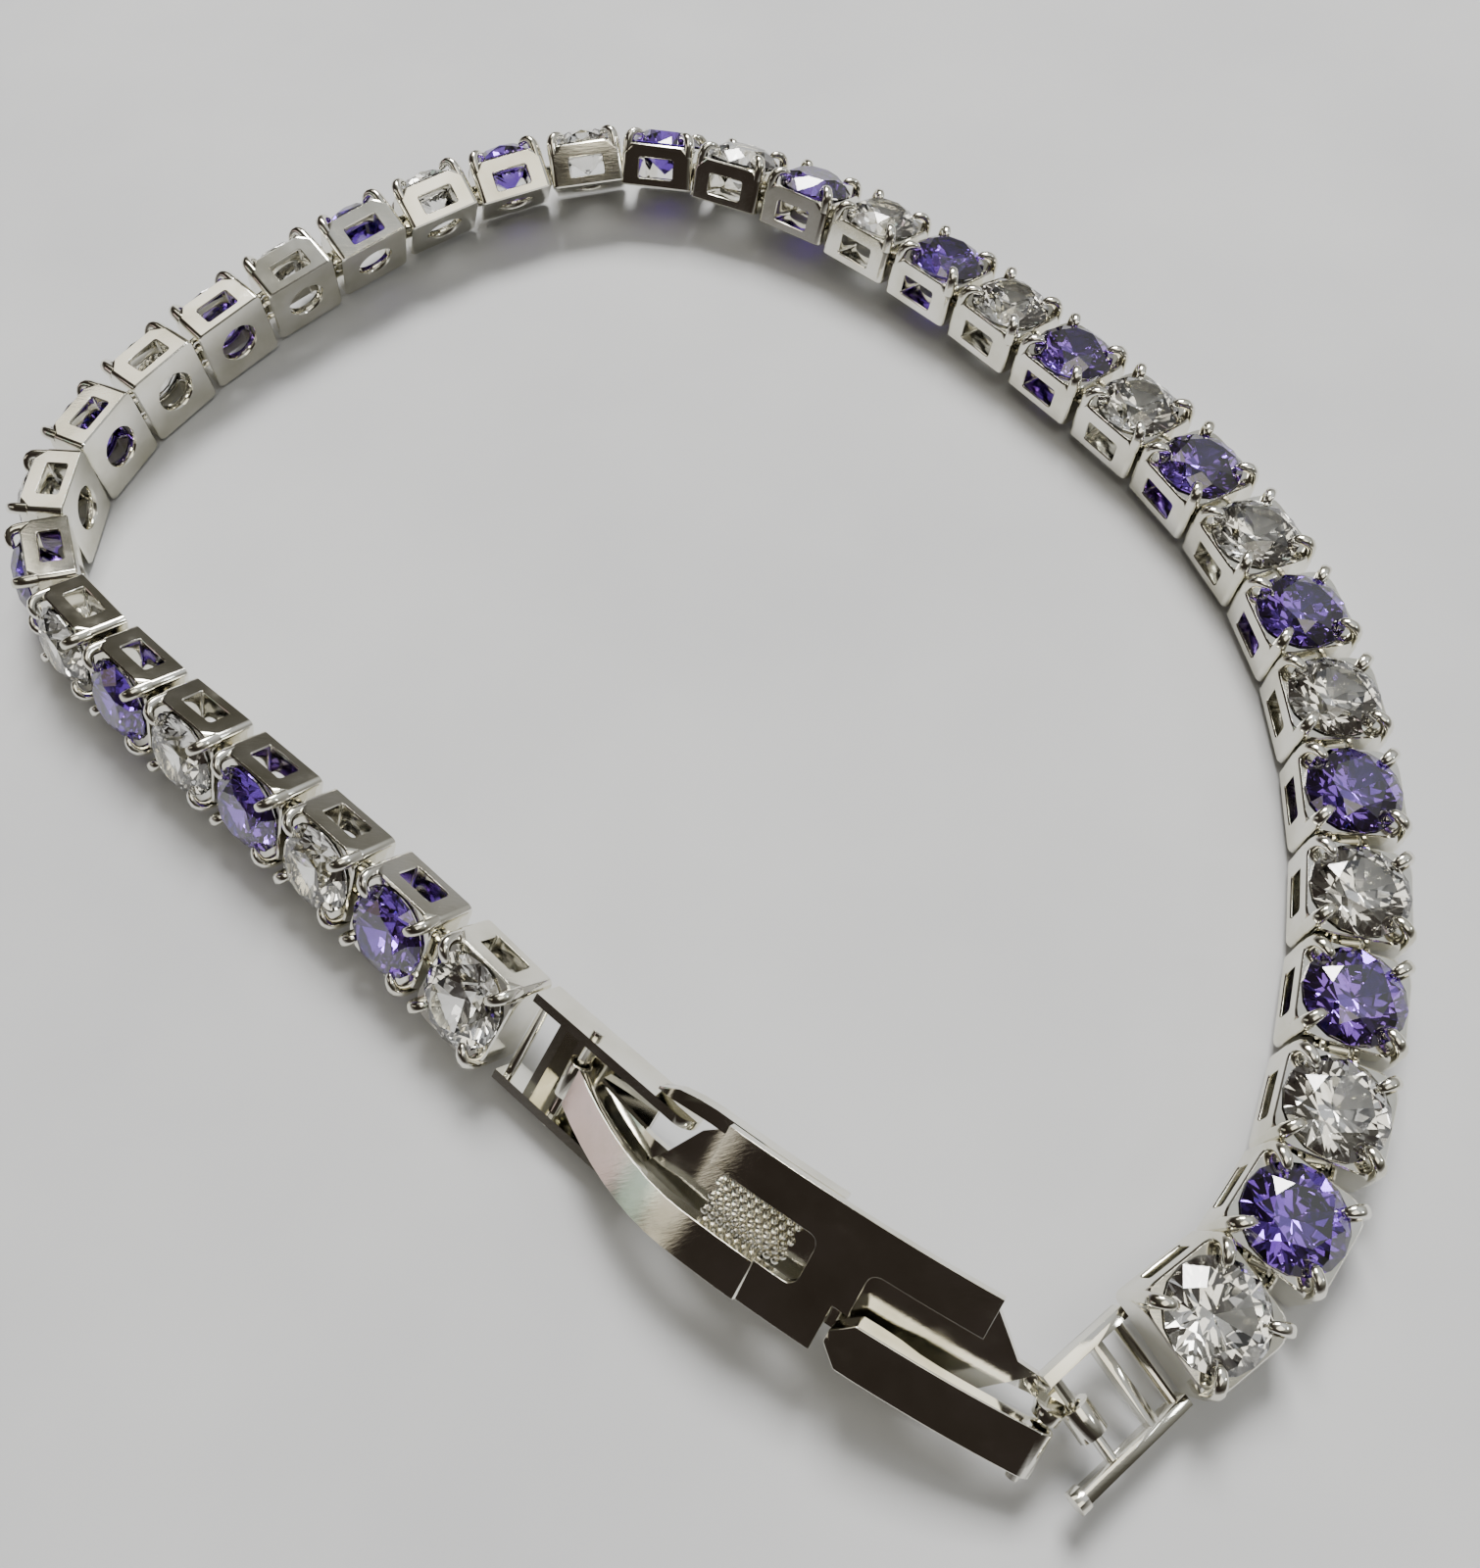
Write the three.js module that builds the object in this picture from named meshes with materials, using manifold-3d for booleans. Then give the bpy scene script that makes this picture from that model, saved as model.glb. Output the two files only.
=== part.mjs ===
// Tennis bracelet: round clear and violet stones in square four-claw settings, hinged one to the
// next, closed by a folding clasp. It lies on its side edge, as a closed loop, its stones facing
// outwards. Millimetres, +Z up, the origin under the middle of the loop.
//
// Every piece is first modelled in a frame of its own: X along the bracelet, Y across its width,
// Z away from the wrist. The loop's route then gives each piece its place.
import * as THREE from 'three';
import { mergeVertices } from 'three/addons/utils/BufferGeometryUtils.js';
import Module from 'manifold-3d';

const wasm = await Module();
wasm.setup();

// Stones
const STONE_COUNT = 35;
const RIGHT_RUN = 14;
const STONE_DIAMETER = 3.9;
const TABLE_SHARE = 0.56;
const CROWN_HEIGHT = 0.62;
const TABLE_SIDES = 8;
const GIRDLE_SIDES = 2 * TABLE_SIDES;
const STAR_SHARE = 0.42;
const PAVILION_DEPTH = 1.6;

// Settings
const SETTING_LENGTH = 4.0;
const SETTING_WIDTH = 4.1;
const LINK_GAP = 0.45;
const BASE_DROP = 1.0;
const RIM_RISE = 1.15;
const SEAT_WALL = 0.13;
const SEAT_SIDES = 8;
const FLOOR_HOLE = 2.0;
const FLOOR_THICKNESS = 0.8;
const STONE_CLEARANCE = 0.12;
const WINDOW_LENGTH = 1.9;
const WINDOW_HEIGHT = 1.0;
const WINDOW_RISE = -0.05;
const CLAW_WIDTH = 0.46;
const CLAW_DEPTH = 0.36;
const CLAW_INSET = 0.6;
const CLAW_TIP_WIDTH = 0.28;
const CLAW_SHOULDER = 0.28;
const CLAW_RISE = 1.92;
const CLAW_REACH = 0.28;
const LUG_WIDTH = 1.2;
const LUG_HEIGHT = 0.55;
const EYE_RADIUS = 0.58;
const EYE_WIDTH = 1.1;
const EYE_OFFSET = 0.7;
const LINK_PIN_RADIUS = 0.2;
const PIN_CLEARANCE = 0.12;
const PIN_SIDES = 10;
const EYE_SIDES = 12;
const FUSE = 0.2;
const JOINT_GAP = 0.3;

// Clasp
const RAIL_THICKNESS = 0.38;
const RAIL_HEIGHT = 1.5;
const CHANNEL_FLOOR = 0.28;
const LEFT_RAIL_UPPER = 7.5;
const LEFT_RAIL_LOWER = 6.5;
const STRAP_PIN_PLACE = 2.4;
const STRAP_PIN_RADIUS = 0.24;
const CLASP_SPAN = 21.3;
const CLASP_RADIUS = 30;
const COVER_WIDTH = 4.9;
const COVER_THICKNESS = 0.5;
const COVER_START = 6.6;
const COVER_END = 17.3;
const LEG_WIDTH = 1.5;
const BAR_START = 11.2;
const BAR_END = 13.2;
const STRAP_WIDTH = 1.5;
const STRAP_START = 0.25;
const STRAP_END = 9.6;
const STRAP_RAISE = 0.22;
const STRAP_END_DEPTH = 0.55;
const STRAP_EYE_RADIUS = 0.48;
const BASE_WIDTH = 3.8;
const BASE_PLATE = 0.4;
const BASE_SINK = 0.4;
const BASE_START = 0.9;
const NECK_WIDTH = 1.2;
const NECK_LENGTH = 4.0;
const STEM_WIDTH = 0.7;
const STEM_LENGTH = 2.4;
const TAPER = 1;
const EAR_LEFT = -0.05;
const LIP_WIDTH = 0.45;
const LIP_START = 3.4;
const LIP_END = 11.2;
const LATCH_LENGTH = 7.3;
const LATCH_WIDTH = 1.7;
const LATCH_THICKNESS = 0.6;
const LATCH_TIP_DEPTH = 0.4;
const SLOT_CORNER = 0.4;
const TIP_ROUNDING = 0.75;
const LATCH_PIN_PLACE = 20.2;
const LATCH_PIN_RADIUS = 0.24;
const LATCH_EYE_RADIUS = 0.5;
const LATCH_PIN_OVERHANG = 0.3;
const PLATE_GAP = 0.45;
const END_GAP = 0.3;
const ROD_THICKNESS = 0.42;
const ROD_HEIGHT = 0.7;
const ROD_OVERRUN = 1.7;
const ROD_SPAN = 2.9;
const ROD_SPREAD = 3.9;
const HEAD_RADIUS = 0.44;
const STRIP_STEP = 0.8;

// Route of the loop on the surface: x and y in millimetres, and the tilt, the angle in degrees
// by which the stones look up from the surface.
const CLASP_ROUTE = {
  strapPin: { x: -7.8, y: 16.0 },
  leftHeading: -48,
  heading: -40.6,
  rightHeading: 31,
  leftTilt: 52,
  tilt: 63,
  rightTilt: 72,
};
const CHAIN_ROUTE = [
  { x: 16.6, y: 7.3, tilt: 82 },
  { x: 21.0, y: 14.5, tilt: 85 },
  { x: 23.9, y: 22.8, tilt: 86 },
  { x: 24.7, y: 31.8, tilt: 86 },
  { x: 22.6, y: 40.4, tilt: 84 },
  { x: 18.4, y: 48.2, tilt: 80 },
  { x: 13.3, y: 55.8, tilt: 73 },
  { x: 6.8, y: 62.6, tilt: 62 },
  { x: -1.2, y: 66.8, tilt: 50 },
  { x: -9.8, y: 65.8, tilt: 39 },
  { x: -17.6, y: 61.8, tilt: 24 },
  { x: -24.6, y: 56.6, tilt: 8 },
  { x: -29.8, y: 50.0, tilt: 5 },
  { x: -30.2, y: 42.6, tilt: 14 },
  { x: -25.6, y: 36.2, tilt: 24 },
  { x: -19.5, y: 29.6, tilt: 29 },
  { x: -13.6, y: 23.0, tilt: 38 },
];

const PITCH = SETTING_LENGTH + LINK_GAP;
const END_REACH = SETTING_LENGTH / 2 + EYE_OFFSET;
const GIRDLE_RISE = RIM_RISE + STONE_CLEARANCE;
const radians = THREE.MathUtils.degToRad;

// Closed meshes

function toManifold(geometry) {
  const bare = geometry.clone();
  bare.deleteAttribute('normal');
  bare.deleteAttribute('uv');
  const merged = mergeVertices(bare, 1e-5);
  return new wasm.Manifold(new wasm.Mesh({
    numProp: 3,
    vertProperties: new Float32Array(merged.attributes.position.array),
    triVerts: new Uint32Array(merged.index.array),
  }));
}

function toGeometry(solid) {
  const mesh = solid.getMesh();
  const geometry = new THREE.BufferGeometry();
  geometry.setAttribute('position', new THREE.BufferAttribute(new Float32Array(mesh.vertProperties), 3));
  geometry.setIndex(new THREE.BufferAttribute(new Uint32Array(mesh.triVerts), 1));
  geometry.computeVertexNormals();
  return geometry;
}

function join(geometries) {
  return geometries.map(toManifold).reduce((whole, piece) => whole.add(piece));
}

function box(from, to) {
  const size = new THREE.Vector3().subVectors(to, from);
  const geometry = new THREE.BoxGeometry(size.x, size.y, size.z);
  const middle = new THREE.Vector3().addVectors(from, to).multiplyScalar(0.5);
  return geometry.translate(middle.x, middle.y, middle.z);
}

const at = (x, y, z) => new THREE.Vector3(x, y, z);

// A closed solid through rings of points, each ring seen counter-clockwise from the last one's side.
function loft(rings) {
  const count = rings[0].length;
  const points = rings.flat();
  const index = [];
  for (let ring = 0; ring + 1 < rings.length; ring += 1) {
    for (let k = 0; k < count; k += 1) {
      const a = ring * count + k;
      const b = ring * count + ((k + 1) % count);
      index.push(a, b, a + count, b, b + count, a + count);
    }
  }
  const last = (rings.length - 1) * count;
  for (let k = 1; k + 1 < count; k += 1) {
    index.push(0, k + 1, k);
    index.push(last, last + k, last + k + 1);
  }
  const geometry = new THREE.BufferGeometry();
  geometry.setAttribute('position', new THREE.Float32BufferAttribute(points.flatMap((p) => p.toArray()), 3));
  geometry.setIndex(index);
  return geometry;
}

// A rod along Y, with a given number of sides.
function crossPin(radius, from, to, x, z, sides = PIN_SIDES) {
  const geometry = new THREE.CylinderGeometry(radius, radius, to - from, sides);
  return geometry.translate(x, (from + to) / 2, z);
}

// Stone: table, star, kite and girdle facets over a pointed pavilion

function stoneGeometry() {
  const radius = STONE_DIAMETER / 2;
  const ring = (count, size, height, turn) => Array.from({ length: count }, (_, k) => {
    const angle = ((k + turn) / count) * Math.PI * 2;
    return at(size * Math.cos(angle), size * Math.sin(angle), height);
  });
  const starRadius = radius * (1 - STAR_SHARE * (1 - TABLE_SHARE));
  const table = ring(TABLE_SIDES, radius * TABLE_SHARE, CROWN_HEIGHT, 0);
  const star = ring(TABLE_SIDES, starRadius, CROWN_HEIGHT * STAR_SHARE, 0.5);
  const girdle = ring(GIRDLE_SIDES, radius, 0, 0);
  const points = [...table, ...star, ...girdle, at(0, 0, -PAVILION_DEPTH)];
  const starAt = TABLE_SIDES;
  const girdleAt = starAt + TABLE_SIDES;
  const culetAt = girdleAt + GIRDLE_SIDES;
  const index = [];
  for (let k = 1; k + 1 < TABLE_SIDES; k += 1) {
    index.push(0, k, k + 1);
  }
  for (let k = 0; k < TABLE_SIDES; k += 1) {
    const bezel = girdleAt + 2 * k;
    const middle = bezel + 1;
    const nextBezel = girdleAt + ((2 * k + 2) % GIRDLE_SIDES);
    index.push(k, starAt + k, (k + 1) % TABLE_SIDES);
    index.push(k, starAt + ((k + TABLE_SIDES - 1) % TABLE_SIDES), bezel);
    index.push(k, bezel, starAt + k);
    index.push(starAt + k, bezel, middle);
    index.push(starAt + k, middle, nextBezel);
  }
  for (let k = 0; k < GIRDLE_SIDES; k += 1) {
    index.push(girdleAt + k, culetAt, girdleAt + ((k + 1) % GIRDLE_SIDES));
  }
  const geometry = new THREE.BufferGeometry();
  geometry.setAttribute('position', new THREE.Float32BufferAttribute(points.flatMap((p) => p.toArray()), 3));
  geometry.setIndex(index);
  return geometry.translate(0, 0, GIRDLE_RISE);
}

// Setting: a square box with a tapered seat, a hole through its floor, a window in each side
// wall and a claw at each corner

// The corners of a regular outline that a circle of the given radius fits inside
function seatRing(radius, z) {
  const reach = radius / Math.cos(Math.PI / SEAT_SIDES);
  return Array.from({ length: SEAT_SIDES }, (_, k) => {
    const angle = ((k + 0.5) / SEAT_SIDES) * Math.PI * 2;
    return at(reach * Math.cos(angle), reach * Math.sin(angle), z);
  });
}

function seatCutter() {
  const top = Math.min(SETTING_LENGTH, SETTING_WIDTH) / 2 - SEAT_WALL;
  const floor = -BASE_DROP + FLOOR_THICKNESS;
  const slope = (top - FLOOR_HOLE / 2) / (RIM_RISE - floor);
  return loft([
    seatRing(FLOOR_HOLE / 2, -BASE_DROP - FUSE),
    seatRing(FLOOR_HOLE / 2, floor),
    seatRing(top + slope * FUSE, RIM_RISE + FUSE),
  ]);
}

function windowCutter() {
  const half = SETTING_WIDTH / 2 + FUSE;
  const low = WINDOW_RISE - WINDOW_HEIGHT / 2;
  return box(at(-WINDOW_LENGTH / 2, -half, low), at(WINDOW_LENGTH / 2, half, low + WINDOW_HEIGHT));
}

function claw(signX, signY) {
  const corner = Math.hypot(SETTING_LENGTH / 2, SETTING_WIDTH / 2);
  const outX = (signX * SETTING_LENGTH) / 2 / corner;
  const outY = (signY * SETTING_WIDTH) / 2 / corner;
  const foot = corner - CLAW_WIDTH / 2 - CLAW_DEPTH * CLAW_INSET;
  const tip = STONE_DIAMETER / 2 - CLAW_REACH;
  const ring = (reach, height, width, depth, lean) => {
    const corners = [[-0.5, 0.5], [0.5, 0.5], [0.5, -0.5], [-0.5, -0.5]];
    return corners.map(([across, deep]) => at(
      outX * (reach + deep * depth) - outY * across * width,
      outY * (reach + deep * depth) + outX * across * width,
      height + deep * lean,
    ));
  };
  return loft([
    ring(foot, RIM_RISE - FUSE, CLAW_WIDTH, CLAW_DEPTH, 0),
    ring(foot, GIRDLE_RISE + CLAW_SHOULDER, CLAW_WIDTH, CLAW_DEPTH, FUSE),
    ring(tip, CLAW_RISE, CLAW_TIP_WIDTH, 0, CLAW_TIP_WIDTH),
  ]);
}

function settingSolid() {
  const body = box(
    at(-SETTING_LENGTH / 2, -SETTING_WIDTH / 2, -BASE_DROP),
    at(SETTING_LENGTH / 2, SETTING_WIDTH / 2, RIM_RISE),
  );
  let solid = toManifold(body).subtract(toManifold(seatCutter())).subtract(toManifold(windowCutter()));
  for (const signX of [-1, 1]) {
    for (const signY of [-1, 1]) {
      solid = solid.add(toManifold(claw(signX, signY)));
    }
  }
  return solid;
}

// An eye on the end of the first or last setting, for the clasp's cross pin
function endEye(direction) {
  const hole = LINK_PIN_RADIUS + PIN_CLEARANCE;
  const reach = direction * END_REACH;
  const outer = toManifold(crossPin(EYE_RADIUS, -EYE_WIDTH / 2, EYE_WIDTH / 2, reach, 0, EYE_SIDES));
  const inner = Math.min(reach, direction * (SETTING_LENGTH / 2 - FUSE));
  const outerEdge = Math.max(reach, direction * (SETTING_LENGTH / 2 - FUSE));
  const stem = box(
    at(inner, -EYE_WIDTH / 2, -LUG_HEIGHT / 2),
    at(outerEdge, EYE_WIDTH / 2, LUG_HEIGHT / 2),
  );
  const cut = crossPin(hole, -EYE_WIDTH, EYE_WIDTH, reach, 0);
  return outer.add(toManifold(stem)).subtract(toManifold(cut));
}

// Route: where each piece's two pivots and its tilt lie

function pivotHeight(tilt) {
  const angle = radians(tilt);
  const clawSide = CLAW_RISE + CLAW_TIP_WIDTH / 2;
  const below = Math.max(BASE_DROP * Math.sin(angle), -clawSide * Math.sin(angle));
  return (SETTING_WIDTH / 2) * Math.cos(angle) + below;
}

function frameBetween(start, end, tilt) {
  const along = new THREE.Vector3().subVectors(end, start).normalize();
  const out = new THREE.Vector3().crossVectors(along, at(0, 0, 1)).normalize();
  const up = new THREE.Vector3().crossVectors(out, along);
  const angle = radians(tilt);
  const away = out.clone().multiplyScalar(Math.cos(angle)).addScaledVector(up, Math.sin(angle));
  const across = new THREE.Vector3().crossVectors(away, along);
  return new THREE.Matrix4().makeBasis(along, across, away);
}

function placeAt(start, end, tilt, origin) {
  return frameBetween(start, end, tilt).setPosition(origin);
}

function stepFrom(point, heading, length, tilt) {
  const angle = radians(heading);
  return at(point.x + length * Math.cos(angle), point.y + length * Math.sin(angle), pivotHeight(tilt));
}

function claspPivots() {
  const route = CLASP_ROUTE;
  const strapPin = at(route.strapPin.x, route.strapPin.y, pivotHeight(route.leftTilt));
  const leftLink = stepFrom(strapPin, route.leftHeading, -STRAP_PIN_PLACE, route.leftTilt);
  const claspEnd = stepFrom(strapPin, route.heading, CLASP_SPAN, route.tilt);
  const rightLink = stepFrom(claspEnd, route.rightHeading, ROD_SPAN, route.rightTilt);
  return { leftLink, strapPin, claspEnd, rightLink };
}

// The chain's smooth line, its points pushed out from the clasp by one share
function chainCurve(pivots, spread) {
  const { leftLink, rightLink } = pivots;
  const middle = new THREE.Vector3().addVectors(leftLink, rightLink).multiplyScalar(0.5);
  const inner = CHAIN_ROUTE.map((point) => at(
    middle.x + (point.x - middle.x) * spread,
    middle.y + (point.y - middle.y) * spread,
    0,
  ));
  const line = [rightLink.clone().setZ(0), ...inner, leftLink.clone().setZ(0)];
  return new THREE.CatmullRomCurve3(line, false, 'centripetal');
}

const tilts = [CLASP_ROUTE.rightTilt, ...CHAIN_ROUTE.map((point) => point.tilt), CLASP_ROUTE.leftTilt];
const tiltCurve = new THREE.CatmullRomCurve3(tilts.map((tilt) => at(tilt, 0, 0)), false, 'catmullrom', 0.5);
const tiltAt = (share) => tiltCurve.getPoint(THREE.MathUtils.clamp(share, 0, 1)).x;

function pointOnRoute(curve, share) {
  const point = curve.getPoint(share);
  return point.setZ(pivotHeight(tiltAt(share)));
}

// Walks the rigid links along the line, each next pivot one chord from the last
function walkChain(pivots, spread) {
  const curve = chainCurve(pivots, spread);
  const shares = [0];
  const stops = [pivots.rightLink.clone()];
  for (let link = 0; link < STONE_COUNT; link += 1) {
    const isEnd = link === 0 || link === STONE_COUNT - 1;
    const chord = isEnd ? PITCH / 2 + END_REACH : PITCH;
    const from = stops[stops.length - 1];
    let low = shares[shares.length - 1];
    let high = Math.min(low + 0.12, 1.2);
    for (let step = 0; step < 40; step += 1) {
      const middle = (low + high) / 2;
      const far = middle > 1 ? true : pointOnRoute(curve, middle).distanceTo(from) > chord;
      if (far) {
        high = middle;
      } else {
        low = middle;
      }
    }
    shares.push(low);
    stops.push(pointOnRoute(curve, Math.min(low, 1)));
  }
  const last = shares[shares.length - 2];
  const lastChord = PITCH / 2 + END_REACH;
  const missing = pointOnRoute(curve, 1).distanceTo(stops[STONE_COUNT - 1]) - lastChord;
  return { stops, shares, missing: last >= 0.999 ? -lastChord : missing };
}

// The share that makes the last link end at the clasp
function closedChain(pivots) {
  let small = 0.5;
  let large = 1.8;
  for (let step = 0; step < 50; step += 1) {
    const middle = (small + large) / 2;
    if (walkChain(pivots, middle).missing > 0) {
      large = middle;
    } else {
      small = middle;
    }
  }
  return walkChain(pivots, large);
}

function linkFrames(chain) {
  return Array.from({ length: STONE_COUNT }, (_, link) => {
    const start = chain.stops[link];
    const end = chain.stops[link + 1];
    const tilt = tiltAt((chain.shares[link] + chain.shares[link + 1]) / 2);
    const along = new THREE.Vector3().subVectors(end, start).normalize();
    const back = link === 0 ? END_REACH : PITCH / 2;
    const origin = start.clone().addScaledVector(along, back);
    return placeAt(start, end, tilt, origin);
  });
}

// A short bar from one setting's end wall, into the next one or up to a place short of it
function lugBetween(frame, nextFrame, nextPlace) {
  const ring = (matrix, x) => {
    const halfY = LUG_WIDTH / 2;
    const halfZ = LUG_HEIGHT / 2;
    const corners = [at(x, -halfY, -halfZ), at(x, halfY, -halfZ), at(x, halfY, halfZ), at(x, -halfY, halfZ)];
    return corners.map((point) => point.applyMatrix4(matrix));
  };
  const reach = SETTING_LENGTH / 2;
  return loft([ring(frame, reach - FUSE), ring(nextFrame, nextPlace)]);
}

function settingsRun(frames, first, last) {
  const setting = settingSolid();
  let whole = null;
  for (let link = first; link <= last; link += 1) {
    let piece = setting;
    if (link === 0) {
      piece = piece.add(endEye(-1));
    }
    if (link === STONE_COUNT - 1) {
      piece = piece.add(endEye(1));
    }
    const geometry = toGeometry(piece).applyMatrix4(frames[link]);
    const placed = toManifold(geometry);
    whole = whole ? whole.add(placed) : placed;
    if (link < STONE_COUNT - 1) {
      const inset = link < last ? FUSE : -JOINT_GAP;
      whole = whole.add(toManifold(lugBetween(frames[link], frames[link + 1], inset - SETTING_LENGTH / 2)));
    }
  }
  return toGeometry(whole);
}

// Clasp: its curve, and strips that follow it

function claspRise(x) {
  const half = CLASP_SPAN / 2;
  return Math.sqrt(CLASP_RADIUS ** 2 - (x - half) ** 2) - Math.sqrt(CLASP_RADIUS ** 2 - half ** 2);
}

// A strip along X that follows the clasp's curve, between two heights above it and two sides,
// each of them a function of x
function curvedStrip(fromX, toX, lowAt, highAt, sidesAt) {
  const rings = [];
  const steps = Math.ceil((toX - fromX) / STRIP_STEP);
  for (let step = 0; step <= steps; step += 1) {
    const x = fromX + ((toX - fromX) * step) / steps;
    const [right, left] = sidesAt(x);
    const low = claspRise(x) + lowAt(x);
    const high = claspRise(x) + highAt(x);
    rings.push([at(x, right, low), at(x, left, low), at(x, left, high), at(x, right, high)]);
  }
  return loft(rings);
}

const always = (value) => () => value;

function channelLeft() {
  const half = SETTING_WIDTH / 2;
  const inner = half - RAIL_THICKNESS;
  const start = JOINT_GAP - EYE_OFFSET;
  const top = RAIL_HEIGHT - BASE_DROP;
  const bend = RAIL_HEIGHT / 2;
  const rail = (side, length) => {
    const outline = new THREE.Shape();
    outline.moveTo(start, -BASE_DROP);
    outline.lineTo(length - bend, -BASE_DROP);
    outline.absarc(length - bend, top - bend, bend, -Math.PI / 2, Math.PI / 2);
    outline.lineTo(start, top);
    const geometry = new THREE.ExtrudeGeometry(outline, {
      depth: RAIL_THICKNESS, bevelEnabled: false, curveSegments: 8,
    });
    geometry.rotateX(Math.PI / 2);
    return geometry.translate(0, side > 0 ? half : -inner, 0);
  };
  const floor = box(
    at(EYE_RADIUS + JOINT_GAP, -inner - FUSE / 2, -BASE_DROP),
    at(LEFT_RAIL_LOWER - bend, inner + FUSE / 2, -BASE_DROP + CHANNEL_FLOOR),
  );
  const endWall = box(
    at(EYE_RADIUS + JOINT_GAP, -inner - FUSE / 2, -BASE_DROP),
    at(EYE_RADIUS + JOINT_GAP + RAIL_THICKNESS, inner + FUSE / 2, 0),
  );
  const linkPin = crossPin(LINK_PIN_RADIUS, -inner - FUSE / 2, inner + FUSE / 2, 0, 0);
  const strapPin = crossPin(STRAP_PIN_RADIUS, -half - FUSE, half + FUSE, STRAP_PIN_PLACE, 0);
  const rails = [rail(1, LEFT_RAIL_UPPER), rail(-1, LEFT_RAIL_LOWER)];
  return toGeometry(join([...rails, floor, endWall, linkPin, strapPin]));
}

// Between x = 0 and the plate the strap sweeps from the middle of the channel to the plate's side
function strapSides(x) {
  const left = Math.max(0, 1 - x / COVER_START);
  const share = 1 - left * left;
  const plateEdge = -COVER_WIDTH / 2;
  const right = THREE.MathUtils.lerp(-STRAP_WIDTH / 2, plateEdge, share);
  return [right, right + STRAP_WIDTH];
}

// The strap's underside drops towards its blunt end, down into the plate's left slot
function strapLow(x) {
  return -STRAP_END_DEPTH * THREE.MathUtils.smoothstep(x, COVER_START - STRAP_WIDTH, STRAP_END);
}

function strapHigh(x) {
  return COVER_THICKNESS + STRAP_RAISE * THREE.MathUtils.smoothstep(x, STRAP_WIDTH, COVER_START);
}

function roundedSlot(fromX, toX, fromY, toY, radius) {
  const outline = new THREE.Shape();
  outline.moveTo(fromX + radius, fromY);
  outline.lineTo(toX - radius, fromY);
  outline.absarc(toX - radius, fromY + radius, radius, -Math.PI / 2, 0);
  outline.lineTo(toX, toY - radius);
  outline.absarc(toX - radius, toY - radius, radius, 0, Math.PI / 2);
  outline.lineTo(fromX + radius, toY);
  outline.absarc(fromX + radius, toY - radius, radius, Math.PI / 2, Math.PI);
  outline.lineTo(fromX, fromY + radius);
  outline.absarc(fromX + radius, fromY + radius, radius, Math.PI, Math.PI * 1.5);
  const depth = CLASP_RADIUS;
  const geometry = new THREE.ExtrudeGeometry(outline, { depth, bevelEnabled: false, curveSegments: 3 });
  return geometry.translate(0, 0, -depth / 2);
}

function claspCover(pinMatrix) {
  const half = COVER_WIDTH / 2;
  const slotLow = -half + STRAP_WIDTH;
  const slotHigh = half - LEG_WIDTH;
  const above = CLASP_RADIUS / 2;
  const plateSides = always([-half, half]);
  const plate = curvedStrip(COVER_START, COVER_END, always(0), always(COVER_THICKNESS), plateSides);
  const strap = curvedStrip(STRAP_START, STRAP_END, strapLow, strapHigh, strapSides);
  const eye = crossPin(STRAP_EYE_RADIUS, -STRAP_WIDTH / 2, STRAP_WIDTH / 2, 0, 0, EYE_SIDES);
  eye.applyMatrix4(pinMatrix);
  const leftSlot = roundedSlot(COVER_START - FUSE, BAR_START, slotLow, slotHigh, SLOT_CORNER);
  const openLeft = box(
    at(COVER_START - FUSE, slotLow, -above),
    at(COVER_START + SLOT_CORNER, slotHigh, above),
  );
  const rightSlot = roundedSlot(BAR_END, COVER_END + LEG_WIDTH, slotLow, slotHigh, SLOT_CORNER);
  const latchBay = box(
    at(latchTip() - END_GAP, -half - FUSE, -above),
    at(COVER_END + FUSE, slotLow + FUSE, above),
  );
  const pinRadius = STRAP_PIN_RADIUS + PIN_CLEARANCE;
  const pinHole = crossPin(pinRadius, -STRAP_WIDTH, STRAP_WIDTH, 0, 0).applyMatrix4(pinMatrix);
  return toGeometry(
    toManifold(plate)
      .subtract(join([leftSlot, openLeft]))
      .add(join([strap, eye]))
      .subtract(join([rightSlot, latchBay]))
      .subtract(toManifold(pinHole)),
  );
}

function latchTip() {
  return LATCH_PIN_PLACE - LATCH_LENGTH;
}

function latchSides() {
  const right = -COVER_WIDTH / 2;
  return [right, right + LATCH_WIDTH];
}

// The tongue narrows to a round tip, and its underside drops towards it
function latchOutline(x) {
  const [right, left] = latchSides();
  const radius = LATCH_WIDTH / 2;
  const ahead = THREE.MathUtils.clamp((x - latchTip()) / radius, 0, 1);
  const cut = radius * (1 - Math.sqrt(1 - (1 - ahead) ** 2)) * TIP_ROUNDING;
  return [right + cut, left - cut];
}

function latchLow(x) {
  const tip = latchTip();
  return -LATCH_TIP_DEPTH * (1 - THREE.MathUtils.smoothstep(x, tip + LATCH_WIDTH, tip + 2 * LATCH_WIDTH));
}

function latchTongue() {
  const [right, left] = latchSides();
  const rise = claspRise(LATCH_PIN_PLACE) + LATCH_THICKNESS / 2;
  const top = always(LATCH_THICKNESS + STRAP_RAISE);
  const blade = curvedStrip(latchTip(), LATCH_PIN_PLACE, latchLow, top, latchOutline);
  const eye = crossPin(LATCH_EYE_RADIUS, right, left, LATCH_PIN_PLACE, rise, EYE_SIDES);
  const hole = crossPin(LATCH_PIN_RADIUS + PIN_CLEARANCE, right - FUSE, left + FUSE, LATCH_PIN_PLACE, rise);
  return toGeometry(join([blade, eye]).subtract(toManifold(hole)));
}

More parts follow.
